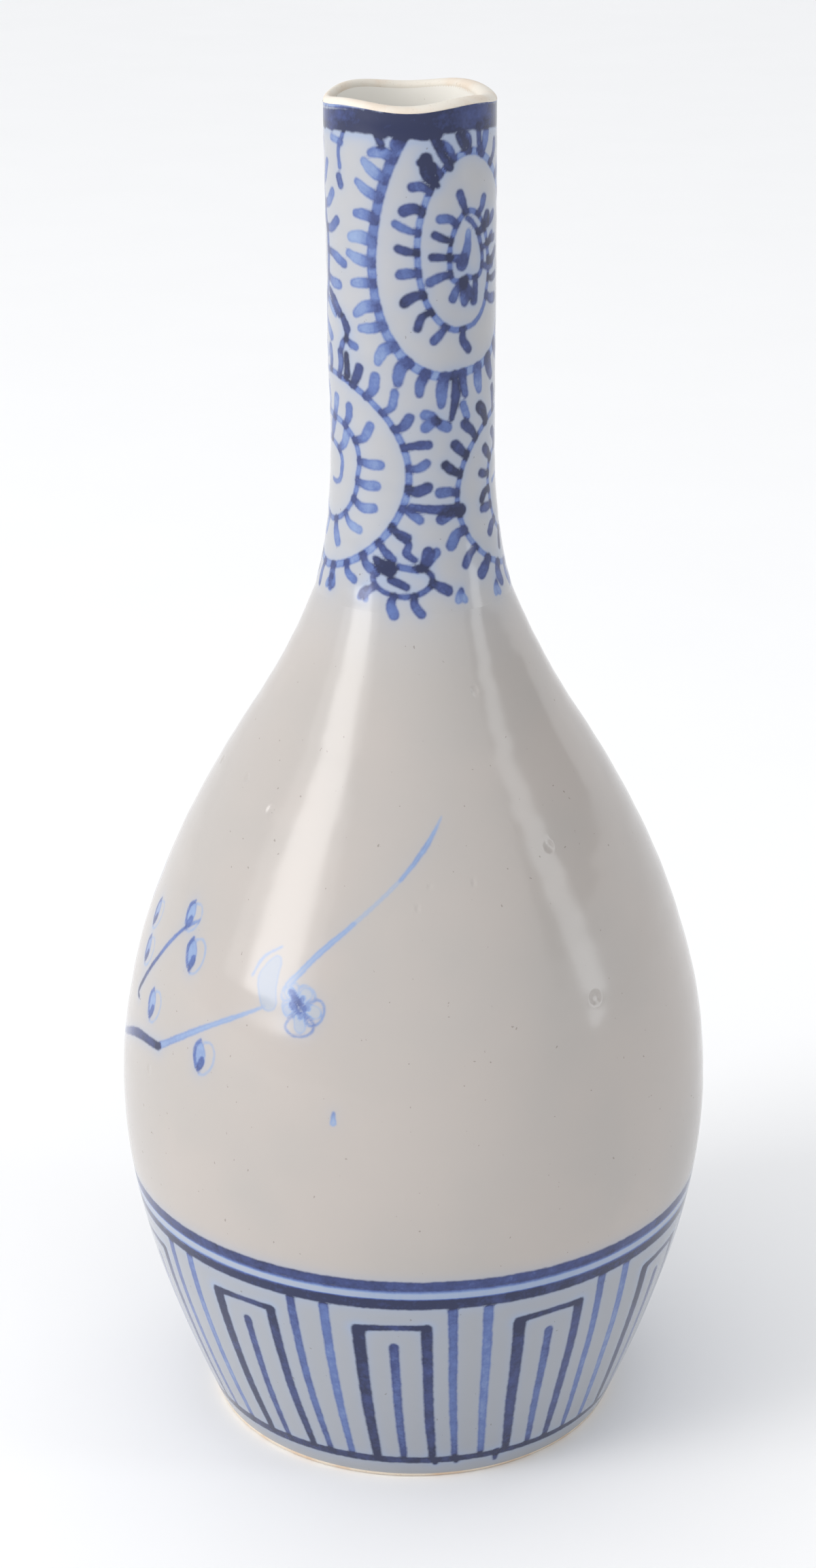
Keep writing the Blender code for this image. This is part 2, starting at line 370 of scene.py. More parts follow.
def paint_below_band():
    """Strokes that hang from the navy band into the gaps at the top of the neck."""
    brush([(-5, 211.5), (-10, 209.5)], (2.2, 1.6), (0.95, 0.5))
    brush([(-24, 212), (-19, 209.5)], (1.5, 1.1), 0.75)
    brush([(15, 211), (21, 208), (27, 206)], (1.5, 1.2, 1.2), 0.85)
    brush([(18, 203.5), (12, 205), (10, 207.5)], (0.8, 1.5, 2.3, 2.0), 1.0)
    brush([(33, 210.5), (37, 209)], (1.2, 1.6), 0.95)
    brush([(51, 211), (52, 208)], 1.1, 0.7)
    brush([(-48, 211), (-55, 208), (-54, 205.5)], 0.8, 0.45)
    brush([(-64, 209.5), (-52, 209)], 1.0, 0.3)
    brush([(-55, 204), (-53, 203)], 1.4, 0.55)


def paint_between_scrolls():
    """Dabs and joining strokes in the gaps between the scrolls."""
    brush([(-73, 187), (-64, 185.5), (-57, 184)], (0.8, 1.7, 1.5), 0.7)
    brush([(-53, 183.5), (-49, 182)], (1.2, 1.6), 0.65)
    sprig(-50, 180.5, (90, 235, 330), 2.2, 1.0, 0.5)
    brush([(-50, 178), (-50, 175)], (1.1, 1.5), 0.9)
    brush([(30, 176), (31, 172.5), (28, 169)], (0.8, 1.7, 0.7), 0.8)
    sprig(17, 169, (150, 215, 330), 2.0, 1.4, 0.45)
    brush([(37, 171), (41, 169)], 1.3, 0.4)
    brush([(-1, 156), (15, 155.5), (34, 155)], (1.1, 1.4, 2.0), (0.6, 0.85))
    brush([(-10, 151.5), (-3, 150.5), (-4, 149), (1, 148)], (0.6, 0.9, 1.3, 0.8), 0.65)
    brush([(-25, 148), (-20, 147), (-15, 146.5)], (0.7, 2.0, 2.3), 0.95)
    for angle, height in ((128, 200), (130, 188), (148, 172), (-160, 168), (-172, 172)):
        sprig(angle, height, (30, 150, 270), 2.2, 1.1, 0.6)


def paint_heart():
    """The dark drop in the middle of the upper scroll, and the dabs below its inner ring."""
    brush([(41, 196.5), (40, 194), (36, 192)], (0.9, 1.5, 2.2), (0.3, 0.65))
    brush([(28, 193), (36, 192.5)], (1.0, 1.6), 0.6)
    sprig(38, 189.5, (235, 270, 305), 3.2, 1.2, 0.6)


def paint_neck_foot():
    """The half loop at the front of the neck's foot, and the pale fringe all round it."""
    half = scroll(
        (-6, 145), -1, (0.3, 3.1), (2.2, 2.5, 2.4), (4.4, 4.8),
        (0.8, 0.9, 0.8, 0.9), (0.8, 0.5, 0.6),
    )
    dabs_along(half, -1, 3.2, 2.8, 1.25, (0.7, 0.6, 0.4), 0.05, 0.95)
    brush([(-14, 145), (-4, 144)], 1.2, 0.75)
    brush([(-9, 147), (3, 146.5)], 1.0, 0.5)
    brush([(6, 146.5), (15, 149)], (0.9, 1.5), 0.5)
    for angle in np.arange(30, 331, 30):
        sprig(angle, 143.2 + rng.uniform(-0.4, 0.4), (240, 280), 1.7, 0.9, 0.3)


def paint_band():
    """The navy band below the lip, and its ragged upper edge."""
    ring(212.4, 2.9, 0.94, (0.25, 0.30, 0.20, 60))
    for angle in np.arange(-180, 180, 12):
        brush([(angle, 211.3), (angle + rng.uniform(5, 12), 211.2 + rng.uniform(-0.3, 0.3))],
              rng.uniform(0.7, 1.3), rng.uniform(0.4, 0.95))
    for angle in np.arange(-180, 180, 4.5):
        start = angle + rng.uniform(-1.5, 1.5)
        height = 214.0 + rng.uniform(-0.1, 0.3)
        brush([(start, height), (start + 4, height)],
              rng.uniform(0.3, 0.7), rng.uniform(0.05, 0.3))


# How many arches go round the foot, and the angle of the first one's left leg
ARCHES = 11
FIRST_ARCH = -11


def paint_foot():
    """Rings and bars round the foot: arches, each with one bar inside and two beside it."""
    ring(42.9, 1.45, 0.76, (0.10, 0.12, 0.05, 110))
    ring(41.0, 2.4, 0.10, (0.05, 0.05, 0.03, 20))
    ring(39.2, 1.35, 0.98, (0.12, 0.12, 0.06, 80))
    ring(4.3, 1.3, 0.95, (0.12, 0.22, 0.05, 150))
    # each bar: degrees after the arch's left leg, top, width, tone
    bars = (
        (0, 34.0, 2.1, 1.15),
        (13.5, 34.6, 1.8, 1.0),
        (7, 30.8, 1.5, 0.75),
        (18.5, 38.3, 1.5, 0.62),
        (25.5, 38.0, 1.6, 0.5),
    )
    for arch in range(ARCHES):
        left = FIRST_ARCH + arch * 360 / ARCHES + rng.uniform(-0.8, 0.8)
        load = rng.uniform(0.85, 1.05)
        for after, top, width, tone in bars:
            head = left + after
            foot = head + rng.uniform(1.0, 3.4)
            brush([(head, top), (0.6 * head + 0.4 * foot, 0.5 * top), (foot, 5.2)],
                  (width, 0.88 * width, 0.78 * width, 0.62 * width),
                  (tone * load, 0.82 * tone * load, 0.82 * tone * load, tone * load))
        head_bar = [(left - 0.4, 34.4), (left + 7, 34.8), (left + 13.5, 34.8)]
        brush(head_bar, (1.3, 1.0, 1.2), (1.1, 0.85, 1.0))
    # drips below the lowest ring
    for angle, drip in ((5.5, 3.4), (11, 3.5), (22, 2.5)):
        brush([(angle, 4.6), (angle + 0.3, drip)], (1.3, 0.7), 0.75)


def turned_shape(points, angle, height, turn, size, mirror=1):
    """Flat points turned and scaled round a place on the bottle. mirror -1 swaps the sides."""
    cos, sin = math.cos(math.radians(turn)), math.sin(math.radians(turn))
    x, y = (np.array(points, float) * size * [mirror, 1]).T
    spun = np.stack([x * cos - y * sin, x * sin + y * cos], axis=-1)
    return off_map(spot(height) + spun, angle)


def paint_bud(angle, height, turn=0.0, size=1.0, load=1.0, mirror=1):
    """A plum bud: a pale petal with a dark base and edge, and a thin open loop beside it."""
    def at(*points):
        return turned_shape(points, angle, height, turn, size, mirror)

    brush(at((0.1, -1.2), (0, 0), (-0.2, 1.3)), np.array([1.0, 1.9, 2.0, 1.2]) * size, 0.20 * load)
    brush(at((-0.1, -1.9), (0.3, -1.2), (0.5, -0.4)), np.array([0.4, 0.8, 0.6]) * size, 0.42 * load)
    brush(at((-0.3, 2.1), (-1.1, 1.1), (-1.1, -0.2), (-0.5, -1.6)), 0.34 * size, 0.34 * load)
    loop_line = at((0.4, 2.0), (1.6, 2.2), (2.5, 1.2), (2.4, -0.6), (1.3, -2.0), (0.2, -2.3))
    brush(loop_line, 0.24 * size, 0.07 * load)


def paint_blossom(angle, height, turn=0.0, size=1.0, load=1.0):
    """An open plum blossom of five loose petals round a dark heart of stamens."""
    # a petal that points right, one unit long: its rim, its wash and its vein
    rim = (
        (0.35, -0.25), (0.7, -0.55), (1.0, -0.35), (1.08, 0.05),
        (0.95, 0.4), (0.65, 0.5), (0.35, 0.2),
    )
    wash = ((0.45, 0), (0.75, 0))
    vein = ((0.12, 0), (0.42, 0.03))
    # each petal: tone of its wash, tone of its rim, length in millimetres
    petals = (
        (0.04, 0.35, 4.3),
        (0.05, 0.14, 3.3),
        (0.07, 0.10, 3.0),
        (0.16, 0.12, 2.8),
        (0.12, 0.45, 4.1),
    )
    for petal, (fill, line, length) in enumerate(petals):
        way = turn + 72 * petal + rng.uniform(-10, 10)
        reach = size * length * rng.uniform(0.88, 1.12)
        brush(turned_shape(rim, angle, height, way, reach), 0.30 * size, 0.8 * line * load)
        brush(turned_shape(wash, angle, height, way, reach), 2.0 * size, 0.7 * fill * load)
        brush(turned_shape(vein, angle, height, way, reach), 0.3 * size, 0.4 * load)
    heart = (
        ((-1.7, 1.4), (-0.3, 0.4)), ((-0.6, 0.5), (0.9, -0.3)), ((-1.0, -0.4), (0.2, -1.0)),
    )
    for stamen in heart:
        brush(turned_shape(stamen, angle, height, turn, size), 0.65 * size, 0.5 * load)


def paint_plum_branch():
    """The end of the plum branch, which reaches the front of the belly from the left."""
    brush([(-83, 66.5), (-71, 70.5), (-60, 72)], (0.9, 1.5, 1.2), (0.6, 0.75, 0.95))
    brush([(-60, 72), (-46, 79), (-32, 85)], (1.1, 0.85, 0.4), (0.28, 0.17, 0.08))
    brush([(-27, 89), (-21, 94), (-14, 98.5)], (0.9, 0.8, 0.6), (0.08, 0.16, 0.13))
    brush([(-14, 98.5), (-3, 105)], 0.5, 0.03)
    brush([(-3, 105), (3, 109), (8, 113)], (0.5, 0.75, 0.2), (0.15, 0.20, 0.06))
    brush([(-56, 93), (-61, 90.5), (-67, 85.5), (-75, 77), (-74, 75.5)],
          (0.4, 0.6, 0.7, 0.8, 0.5), (0.25, 0.35, 0.4, 0.9, 0.8))
    paint_bud(-60, 93, -8, 1.1)
    paint_bud(-55, 88, 8, 1.25, 1.1)
    paint_bud(-78, 88.5, 0, 1.1, 1.4)
    paint_bud(-76, 83, 0, 1.1, 1.4)
    paint_bud(-66, 77, 0, 1.2, 1.1)
    paint_bud(-46, 74.5, 0, 1.2, 1.1)
    # the open flower, with a pale petal and its rim at the left
    brush([(-30.5, 92), (-32, 89), (-31, 86)], (1.6, 3.6, 3.0), 0.045)
    brush([(-36, 89), (-34, 92), (-30, 94)], 0.3, 0.08)
    paint_blossom(-24, 86.5, -10, 1.0, 0.75)
    # a small drop of paint below it
    brush([(-15, 71.5), (-15, 70)], (0.4, 1.0), (0.3, 0.12))


def paint_plum_tree():
    """The trunk and the other branches, on the left and the back of the belly."""
    brush([(-146, 43.5), (-131, 56), (-117, 66), (-98, 65), (-84, 66)],
          (5.2, 4.0, 2.6, 1.5, 0.9), (0.3, 0.42, 0.3, 0.5, 0.35, 0.6))
    brush([(-149, 43.5), (-135, 57), (-124, 66.5)], (0.9, 0.6, 1.1, 0.7), (0.5, 0.8, 0.6))
    brush([(-126, 62), (-130, 78), (-139, 95), (-147, 103)],
          (3.0, 2.0, 1.1, 0.5), (0.4, 0.5, 0.35, 0.5))
    brush([(-137, 86), (-118, 100), (-98, 113)], (1.2, 0.8, 0.3), (0.45, 0.35, 0.2))
    brush([(-139, 95), (-163, 103), (-176, 105)], (1.1, 0.8, 0.4), (0.45, 0.3))
    brush([(-131, 78), (-160, 75), (-174, 77)], (1.3, 0.9, 0.5), (0.5, 0.35))
    brush([(-108, 66.5), (-99, 80), (-91, 88)], (1.2, 0.8, 0.5), (0.5, 0.4))
    flowers = ((-129, 84, 20), (-157, 98, 60), (-110, 98, 10), (-150, 75, 40), (-103, 77, 75))
    for angle, height, turn in flowers:
        paint_blossom(angle, height, turn, rng.uniform(0.95, 1.1))
    buds = ((-121, 104, 20), (-101, 110, -30), (-177, 108, -10), (-166, 71, 160),
            (-176, 80, 10), (-94, 91, -15), (-144, 107, -20), (-93, 60, 200))
    for angle, height, turn in buds:
        size, load = rng.uniform(0.85, 1.1), rng.uniform(0.9, 1.3)
        paint_bud(angle, height, turn, size, load, mirror=rng.choice((-1, 1)))
    # blades of grass at the trunk's foot
    for blade in range(7):
        angle = -160 + 5 * blade
        lean, tall = rng.uniform(-4, 4), rng.uniform(6, 12)
        brush([(angle, 43.6), (angle + 0.4 * lean, 43.6 + 0.6 * tall), (angle + lean, 43.6 + tall)],
              (0.9, 0.7, 0.2), (0.6, 0.3))


def paint():
    """Lay down every stroke on the map."""
    paint_scrolls()
    paint_below_band()
    paint_between_scrolls()
    paint_heart()
    paint_neck_foot()
    paint_band()
    paint_foot()
    paint_plum_branch()
    paint_plum_tree()


def stroke_fields(here, line, half_width, strength):
    """For each point, how far it is inside the nearest stretch of a stroke, and its tone."""
    start, step = line[:-1], np.diff(line, axis=0)
    length = np.maximum((step**2).sum(1), 1e-9)
    offset = here[:, None, :] - start[None]
    share = np.clip((offset * step[None]).sum(2) / length, 0, 1)
    away = np.linalg.norm(offset - share[..., None] * step[None], axis=2)
    inside = half_width[:-1] + share * np.diff(half_width) - away
    best = inside.argmax(1)
    rows = np.arange(len(here))
    load = strength[:-1] + share * np.diff(strength)
    return inside[rows, best], load[rows, best]


def overlaid(first, second):
    """Tone where two strokes cross: the darker of them and a share of the other."""
    return np.maximum(first, second) + 0.22 * np.minimum(first, second)


def laid_down(inside, load):
    """Pigment that a stroke leaves at points this far inside its edge."""
    return load * np.clip((inside + SPILL) / SOFT_EDGE, 0, 1)


def bled(inside, load, distance):
    """The pale haze that a stroke leaves round itself."""
    return load * np.exp(np.clip(inside, -REACH, 0) / distance)


def painted(angle, height):
    """What the brush left at each point: edge, the millimetres inside a stroke's edge; tone,
    the pigment laid down; and haze, the pale bleed around it."""
    edge = np.full(len(angle), -REACH)
    tone = np.zeros(len(angle))
    haze = np.zeros(len(angle))
    for path, half_width, strength in STROKES:
        centre = (path[:, 0].min() + path[:, 0].max()) / 2
        reach = REACH + half_width.max()
        margin = np.degrees(reach / outline(path[:, 1]).min())
        span = (path[:, 0].max() - path[:, 0].min()) / 2 + margin
        close = (height > path[:, 1].min() - reach) & (height < path[:, 1].max() + reach)
        close &= np.abs(turned_apart(angle, centre)) < span
        index = np.nonzero(close)[0]
        if not len(index):
            continue
        here = on_map(angle[index], height[index], centre)
        line = on_map(path[:, 0], path[:, 1], centre)
        inside, load = stroke_fields(here, line, half_width, strength)
        edge[index] = np.maximum(edge[index], inside)
        tone[index] = overlaid(tone[index], laid_down(inside, load))
        haze[index] += bled(inside, load, STROKE_BLEED)
    for ring_height, half_width, strength in RINGS:
        away = np.abs(along(height) - along(ring_height(angle)))
        inside = half_width(angle) - away
        load = strength(angle)
        edge = np.maximum(edge, inside)
        tone = overlaid(tone, laid_down(inside, load))
        haze += bled(inside, load, RING_BLEED)
    return edge, tone, np.minimum(haze, 1.5)


paint()


# ---------------------------------------------------------------- meshes
def add_object(mesh, name, material):
    """Put a mesh with one material into the scene."""
    mesh.materials.append(material)
    made = bpy.data.objects.new(name, mesh)
    bpy.context.scene.collection.objects.link(made)
    return made


def grid_mesh(name, points, closed):
    """A mesh from points in rows and columns; closed joins the last column to the first."""
    rows, columns = points.shape[:2]
    across = columns if closed else columns - 1
    row, column = np.meshgrid(np.arange(rows - 1), np.arange(across), indexing="ij")
    beside = (column + 1) % columns
    faces = np.stack([row * columns + column, row * columns + beside,
                      (row + 1) * columns + beside, (row + 1) * columns + column], axis=-1)
    mesh = bpy.data.meshes.new(name)
    mesh.vertices.add(rows * columns)
    mesh.vertices.foreach_set("co", points.reshape(-1).astype(np.float32))
    mesh.loops.add(faces.size)
    mesh.loops.foreach_set("vertex_index", faces.reshape(-1).astype(np.int32))
    mesh.polygons.add(faces.size // 4)
    mesh.polygons.foreach_set("loop_start", np.arange(0, faces.size, 4, dtype=np.int32))
    mesh.update()
    mesh.validate()
    layer = mesh.uv_layers.new(name="OFBake")
    u = np.stack([column, column + 1, column + 1, column], axis=-1) / across
    v = np.stack([row, row, row + 1, row + 1], axis=-1) / (rows - 1)
    layer.uv.foreach_set("vector", np.stack([u, v], axis=-1).reshape(-1).astype(np.float32))
    return mesh


def refine_near_paint(mesh, cuts):
    """Split the faces of a flat map (x angle, y height) that lie on or beside brushwork."""
    cells = bmesh.new()
    cells.from_mesh(mesh)
    middles = np.array([face.calc_center_median() for face in cells.faces])
    inside = painted(middles[:, 0], middles[:, 1])[0]
    wanted = inside > -REFINE_BESIDE_PAINT
    for pit_angle, pit_height, radius, _ in PITS:
        away = on_map(middles[:, 0], middles[:, 1], pit_angle) - [0, along(pit_height)]
        wanted |= np.hypot(away[:, 0], away[:, 1]) < REFINE_ROUND_PIT * radius
    picked = {edge for face, near in zip(cells.faces, wanted) if near for edge in face.edges}
    bmesh.ops.subdivide_edges(cells, edges=list(picked), cuts=cuts, use_grid_fill=True)
    bmesh.ops.triangulate(cells, faces=[face for face in cells.faces if len(face.verts) > 4])
    cells.to_mesh(mesh)
    cells.free()


def glazed_outside(name, low, high, columns, step, material, refine=0):
    """A stretch of the painted outside between two heights, with rows about step apart.
    refine is how many cuts are made in the faces near brushwork and pits."""
    heights = even_heights(low, high, step)
    angles = np.linspace(-180, 180, columns + 1)
    flat = np.zeros((len(heights), len(angles), 3))
    flat[..., 0] = angles[None]
    flat[..., 1] = heights[:, None]
    mesh = grid_mesh(name, flat, False)
    if refine:
        refine_near_paint(mesh, refine)
    spots = np.empty(len(mesh.vertices) * 3, np.float32)
    mesh.vertices.foreach_get("co", spots)
    angle, height = spots.reshape(-1, 3)[:, :2].astype(float).T
    # both sides of the back seam fall on the same angle, so that they join below
    angle = np.where(angle > 179.9999, -180.0, angle)
    for field, values in zip(("paint_edge", "paint_tone", "paint_haze"), painted(angle, height)):
        attribute = mesh.attributes.new(field, "FLOAT", "POINT")
        attribute.data.foreach_set("value", values.astype(np.float32))
    mesh.vertices.foreach_set("co", outside(angle, height).reshape(-1).astype(np.float32))
    joined = bmesh.new()
    joined.from_mesh(mesh)
    bmesh.ops.remove_doubles(joined, verts=joined.verts[:], dist=1e-7)
    joined.to_mesh(mesh)
    joined.free()
    mesh.update()
    mesh.shade_smooth()
    return add_object(mesh, name, material)


def turned(name, profile, columns, material, shift=None):
    """A surface turned from (radius, height) points; shift moves each row sideways."""
    profile = np.asarray(profile, float)
    angles = np.linspace(-180, 180, columns, endpoint=False)
    shift = np.zeros(len(profile)) if shift is None else np.asarray(shift, float)
    points = placed(
        np.broadcast_to(angles[None], (len(profile), columns)),
        np.broadcast_to(profile[:, 1:2], (len(profile), columns)),
        np.broadcast_to(profile[:, 0:1], (len(profile), columns)),
        shift[:, None],
    )
    mesh = grid_mesh(name, points, True)
    mesh.shade_smooth()
    return add_object(mesh, name, material)


# ---------------------------------------------------------------- materials
def new_material(name):
    """A material with only a principled shader and its output."""
    material = bpy.data.materials.new(name)
    material.use_nodes = True
    nodes = material.node_tree.nodes
    nodes.clear()
    shader = nodes.new("ShaderNodeBsdfPrincipled")
    output = nodes.new("ShaderNodeOutputMaterial")
    material.node_tree.links.new(shader.outputs["BSDF"], output.inputs["Surface"])
    return material, shader


class Graph:
    """Short ways to add and join shader nodes."""

    def __init__(self, material):
        self.tree = material.node_tree

    def node(self, kind, **settings):
        """A new shader node, with its settings."""
        made = self.tree.nodes.new("ShaderNode" + kind)
        for key, value in settings.items():
            setattr(made, key, value)
        return made

    def join(self, value, socket):
        """Link a socket to an input, or set the input to a plain value."""
        if isinstance(value, bpy.types.NodeSocket):
            self.tree.links.new(value, socket)
        else:
            socket.default_value = value

    def math(self, operation, first, second=0.0, third=0.0, clamp=False):
        """Arithmetic on up to three values."""
        made = self.node("Math", operation=operation, use_clamp=clamp)
        for value, socket in zip((first, second, third), made.inputs):
            self.join(value, socket)
        return made.outputs[0]

    def remap(self, value, low, high, new_low=0.0, new_high=1.0, kind="SMOOTHSTEP"):
        """A value between low and high, moved to between new_low and new_high."""
        made = self.node("MapRange", interpolation_type=kind)
        for item, socket in zip((value, low, high, new_low, new_high), made.inputs):
            self.join(item, socket)
        return made.outputs[0]

    def mix(self, share, first, second):
        """Two colours mixed; share is how much of the second. The numbers are the Mix node's
        colour sockets."""
        made = self.node("Mix", data_type="RGBA")
        self.join(share, made.inputs[0])
        self.join(first, made.inputs[6])
        self.join(second, made.inputs[7])
        return made.outputs[2]

    def noise(self, size_mm, detail=2.0, roughness=0.5):
        """Cloudy noise whose features are about size_mm wide."""
        made = self.node("TexNoise")
        self.join(self.node("TexCoord").outputs["Object"], made.inputs["Vector"])
        made.inputs["Scale"].default_value = 1 / (size_mm * MM)
        made.inputs["Detail"].default_value = detail
        made.inputs["Roughness"].default_value = roughness
        return made.outputs["Fac"]

    def attribute(self, name):
        """A value that the mesh carries at each point."""
        return self.node("Attribute", attribute_name=name).outputs["Fac"]

    def height_mm(self):
        """Height above the table."""
        split = self.node("SeparateXYZ")
        self.join(self.node("TexCoord").outputs["Object"], split.inputs[0])
        return self.math("DIVIDE", split.outputs["Z"], MM)

    def ramp(self, value, stops):
        """A colour from (place, colour) stops."""
        made = self.node("ValToRGB")
        self.join(value, made.inputs[0])
        points = made.color_ramp.elements
        while len(points) < len(stops):
            points.new(0.5)
        for point, (place, colour) in zip(points, stops):
            point.position = place
            point.color = (*colour, 1)
        return made.outputs[0]

    def bump(self, value, distance_mm, strength=1.0, normal=None):
        """A normal roughened by a value, on top of another normal if there is one."""
        made = self.node("Bump")
        made.inputs["Strength"].default_value = strength
        made.inputs["Distance"].default_value = distance_mm * MM
        self.join(value, made.inputs["Height"])
        if normal is not None:
            self.join(normal, made.inputs["Normal"])
        return made.outputs[0]


def cobalt_glaze():
    """Clear glossy glaze over white clay, with cobalt where the brush went."""
    material, shader = new_material("cobalt_glaze")
    graph = Graph(material)
    # where the cobalt lies: a stroke's edge, made ragged, with pigment pooled along it
    ragged = graph.math("SUBTRACT", graph.noise(0.9, 3), 0.5)
    wavy = graph.math("SUBTRACT", graph.noise(3.2, 2), 0.5)
    edge = graph.math("MULTIPLY_ADD", ragged, 0.30, graph.attribute("paint_edge"))
    edge = graph.math("MULTIPLY_ADD", wavy, 0.22, edge)
    mask = graph.remap(edge, -0.30, 0.20)
    rim = graph.remap(edge, 0.08, 0.38, 1.0, 0.0)
    # how dark it is
    cloud = graph.remap(graph.noise(2.4, 3), 0.3, 0.7, 0.86, 1.14, "LINEAR")
    grain = graph.remap(graph.noise(0.55, 2), 0.3, 0.7, 0.92, 1.08, "LINEAR")
    tone = graph.math("MULTIPLY", graph.attribute("paint_tone"), cloud)
    tone = graph.math("MULTIPLY", tone, grain)
    tone = graph.math("MULTIPLY_ADD", rim, 0.06, tone)
    cobalt = graph.ramp(tone, (
        (0.00, (0.37, 0.38, 0.40)),
        (0.18, (0.225, 0.305, 0.475)),
        (0.42, (0.090, 0.140, 0.335)),
        (0.68, (0.034, 0.052, 0.170)),
        (1.00, (0.012, 0.018, 0.062)),
    ))
    # the clay under clear glaze: bluer on the neck and in the foot band, hazy beside strokes
    low_cloud = graph.remap(graph.noise(26, 2), 0.35, 0.65)
    ground = graph.mix(low_cloud, (0.425, 0.382, 0.345, 1), (0.400, 0.368, 0.336, 1))
    bluish = graph.remap(graph.height_mm(), 128.0, 150.0, 0.0, 1.0)
    ground = graph.mix(graph.math("MULTIPLY", bluish, 0.65), ground, (0.375, 0.390, 0.412, 1))
    panel = graph.remap(graph.height_mm(), 38.0, 44.0, 0.8, 0.0)
    ground = graph.mix(panel, ground, (0.285, 0.305, 0.335, 1))
    haze = graph.math("MULTIPLY", graph.attribute("paint_haze"), 0.55, clamp=True)
    ground = graph.mix(haze, ground, (0.27, 0.33, 0.46, 1))
    specks = graph.remap(graph.noise(0.8, 1), 0.77, 0.80)
    ground = graph.mix(graph.math("MULTIPLY", specks, 0.45), ground, (0.12, 0.10, 0.08, 1))
    graph.join(graph.mix(mask, ground, cobalt), shader.inputs["Base Color"])
    # the gloss
    shader.inputs["IOR"].default_value = 1.47
    roughness = graph.remap(graph.noise(14, 3), 0.3, 0.7, 0.12, 0.18, "LINEAR")
    graph.join(roughness, shader.inputs["Roughness"])
    wobble = graph.bump(graph.noise(9.0, 2), 0.10, 0.35)
    peel = graph.bump(graph.noise(1.6, 2), 0.012, 0.5, wobble)
    graph.join(peel, shader.inputs["Normal"])
    return material


def white_glaze(name, tint):
    """Plain clear glaze over white clay, with a few dark specks."""
    material, shader = new_material(name)
    graph = Graph(material)
    cloud = graph.remap(graph.noise(18, 3), 0.35, 0.65)
    colour = graph.mix(cloud, (*tint, 1), (*(0.94 * value for value in tint), 1))
    specks = graph.remap(graph.noise(0.7, 1), 0.74, 0.78)
    colour = graph.mix(graph.math("MULTIPLY", specks, 0.5), colour, (0.10, 0.08, 0.06, 1))
    graph.join(colour, shader.inputs["Base Color"])
    roughness = graph.remap(graph.noise(8, 3), 0.3, 0.7, 0.07, 0.16, "LINEAR")
    graph.join(roughness, shader.inputs["Roughness"])
    graph.join(graph.bump(graph.noise(3.5, 2), 0.06, 0.4), shader.inputs["Normal"])
    return material


def biscuit(name, tint, flush):
    """Bare fired clay: matt, with a fine sandy grain and a warm flush in clouds."""
    material, shader = new_material(name)
    graph = Graph(material)
    cloud = graph.remap(graph.noise(4.5, 4), 0.4, 0.68)
    colour = graph.mix(graph.math("MULTIPLY", cloud, 0.55), (*tint, 1), (*flush, 1))
    grain = graph.noise(0.35, 3, 0.6)
    colour = graph.mix(graph.remap(grain, 0.62, 0.72, 0, 0.35), colour, (0.33, 0.24, 0.16, 1))
    graph.join(colour, shader.inputs["Base Color"])
    graph.join(graph.remap(grain, 0.3, 0.7, 0.55, 0.8, "LINEAR"), shader.inputs["Roughness"])
    graph.join(graph.bump(grain, 0.05, 0.6), shader.inputs["Normal"])
    return material


# ---------------------------------------------------------------- the pieces
def make_outside():
    """The painted outside in three stretches, each as fine as its brushwork needs."""
    glaze = cobalt_glaze()
    ring_line = 42.7
    made = [
        glazed_outside("outer_glaze_foot_band", GLAZE_FOOT, ring_line, 720, 0.42, glaze),
        glazed_outside("outer_glaze_belly", ring_line, SEAM, 360, 0.85, glaze, refine=2),
        glazed_outside("outer_glaze_neck", SEAM, GLAZE_TOP, 264, 0.31, glaze),
    ]
    for piece in made:
        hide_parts("outer_glaze")
    return made


def make_lip():
    """The bare lip: a round-topped ring, wider on one side because the bore is off centre."""
    tuck, crown, lap = 0.04, 0.95, 1.0
    outer = float(outline(GLAZE_TOP))
    # the ring starts just under the glaze's edge, rises by crown and laps down into the bore
    base = GLAZE_TOP - tuck
    wall = outer - BORE
    middle = outer - wall / 2
    profile = [
        (middle + wall / 2 * math.cos(turn), base + crown * math.sin(turn))
        for turn in np.linspace(0, math.pi, 25)
    ]
    profile.append((BORE, base - lap))
    inward = np.clip((outer - np.array(profile)[:, 0]) / wall, 0, 1)
    clay = biscuit("lip_biscuit", (0.66, 0.62, 0.55), (0.62, 0.50, 0.39))
    piece = turned("lip_biscuit", profile, 264, clay, BORE_OFFSET * inward)
    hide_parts("neck")
    return piece


def make_lining():
    """The glazed inside, from below the lip down and across the floor."""
    top = HEIGHT - 0.8
    corner = 10.0
    bore_start = 200.0
    heights = even_heights(FLOOR + corner, top, 1.6)[::-1]
    # clay and both glazes together, thick at the foot and thin at the lip
    wall = np.interp(heights, (0, OUTLINE[1][0], SEAM, HEIGHT), (4.5, 4.5, 3.9, 2.7))
    radius = outline(heights) - wall * np.sqrt(1 + slope(heights) ** 2)
    to_bore = radius + (BORE - radius) * smooth(bore_start, top, heights)
    radius = np.where(heights > bore_start, to_bore, radius)
    profile = list(zip(radius, heights))
    flat = radius[-1] - corner
    for turn in np.linspace(0, math.pi / 2, 12)[1:]:
        profile.append((radius[-1] - corner * (1 - math.cos(turn)),
                        FLOOR + corner * (1 - math.sin(turn))))
    for share in (0.75, 0.5, 0.25, 0.02):
        profile.append((share * flat, FLOOR))
    shift = BORE_OFFSET * smooth(190, HEIGHT, np.array(profile)[:, 1])
    # painted light: the lining is painted much lighter than the same glazed clay outside, so the
    # inside of the mouth looks lit
    glaze = white_glaze("lining_glaze", (0.80, 0.78, 0.73))
    piece = turned("lining_glaze", profile, 144, glaze, shift)
    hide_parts("inner_glaze")
    return piece


